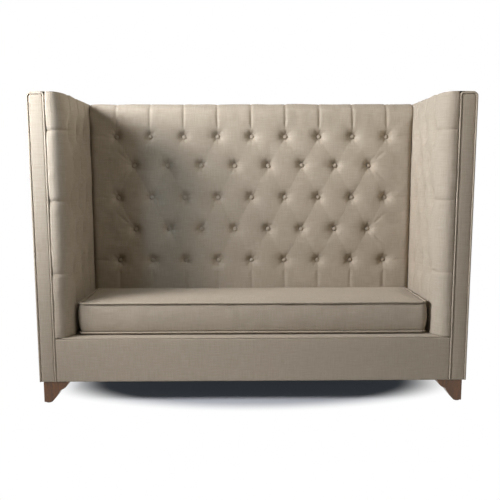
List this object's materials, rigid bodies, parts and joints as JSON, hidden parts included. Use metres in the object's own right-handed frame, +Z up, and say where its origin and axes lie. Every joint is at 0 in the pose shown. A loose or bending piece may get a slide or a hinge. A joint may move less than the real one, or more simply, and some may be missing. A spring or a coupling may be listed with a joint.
{
  "type": "high back settee",
  "caption": "High back settee with deep-buttoned back and wings, piped facings, a loose bench cushion and wooden bracket legs.",
  "frame": {"origin": "on the floor, under the middle of the settee", "axes": "+X along the seat, to the right as seen from the front; +Y from the front to the back; +Z up"},
  "size_m": [1.9992, 0.6992, 1.426],
  "materials": {
    "frame_hardwood": "matte",
    "webbing": "matte",
    "lining_cloth": "matte",
    "upholstery_cloth": "matte",
    "foam": "matte",
    "leg_wood": "satin",
    "steel": "satin",
    "glide_nylon": "matte",
    "zip_tape": "matte",
    "zip_metal": "satin"
  },
  "bodies": {
    "settee_frame": {"front_post_left": "frame_hardwood", "front_post_right": "frame_hardwood", "back_post_left": "frame_hardwood", "back_post_right": "frame_hardwood", "wing_top_rail_left": "frame_hardwood", "wing_top_rail_right": "frame_hardwood", "wing_lower_rail_left": "frame_hardwood", "wing_lower_rail_right": "frame_hardwood", "side_seat_rail_left": "frame_hardwood", "side_seat_rail_right": "frame_hardwood", "front_seat_rail": "frame_hardwood", "rear_seat_rail": "frame_hardwood", "back_top_rail": "frame_hardwood", "back_mid_rail": "frame_hardwood", "back_lower_rail": "frame_hardwood", "back_stiles": "frame_hardwood", "cross_rails": "frame_hardwood", "corner_blocks": "frame_hardwood", "seat_webbing": "webbing", "back_webbing": "webbing", "wing_webbing_left": "webbing", "wing_webbing_right": "webbing", "back_lining": "lining_cloth", "wing_lining_left": "lining_cloth", "wing_lining_right": "lining_cloth", "dust_cover": "lining_cloth", "deck_pad": "upholstery_cloth", "back_pad": "upholstery_cloth", "wing_pad_left": "upholstery_cloth", "wing_pad_right": "upholstery_cloth", "back_buttons": "upholstery_cloth", "wing_buttons_left": "upholstery_cloth", "wing_buttons_right": "upholstery_cloth", "facing_left": "upholstery_cloth", "facing_right": "upholstery_cloth", "facing_piping_left": "upholstery_cloth", "facing_piping_right": "upholstery_cloth", "outer_side_left": "upholstery_cloth", "outer_side_right": "upholstery_cloth", "outer_back": "upholstery_cloth", "outer_back_piping": "upholstery_cloth", "base_front_cover": "upholstery_cloth", "leg_front_left": "leg_wood", "leg_front_right": "leg_wood", "leg_rear_left": "leg_wood", "leg_rear_right": "leg_wood", "leg_bolts": "steel", "leg_nuts": "steel", "corner_screws": "steel", "leg_glides": "glide_nylon"},
    "seat_cushion": {"cushion_cover": "upholstery_cloth", "cushion_core": "foam", "cushion_piping": "upholstery_cloth", "cushion_zip": "zip_tape"},
    "zip_slider": {"zip_slider": "zip_metal"}
  },
  "joints": [
    {"name": "cushion_lift", "type": "slide", "parent": "settee_frame", "child": "seat_cushion", "axis": [0, 0, 1], "range_m": [0, 1.15]},
    {"name": "zip_run", "type": "slide", "parent": "seat_cushion", "child": "zip_slider", "axis": [1, 0, 0], "range_m": [0, 1.284]}
  ]
}
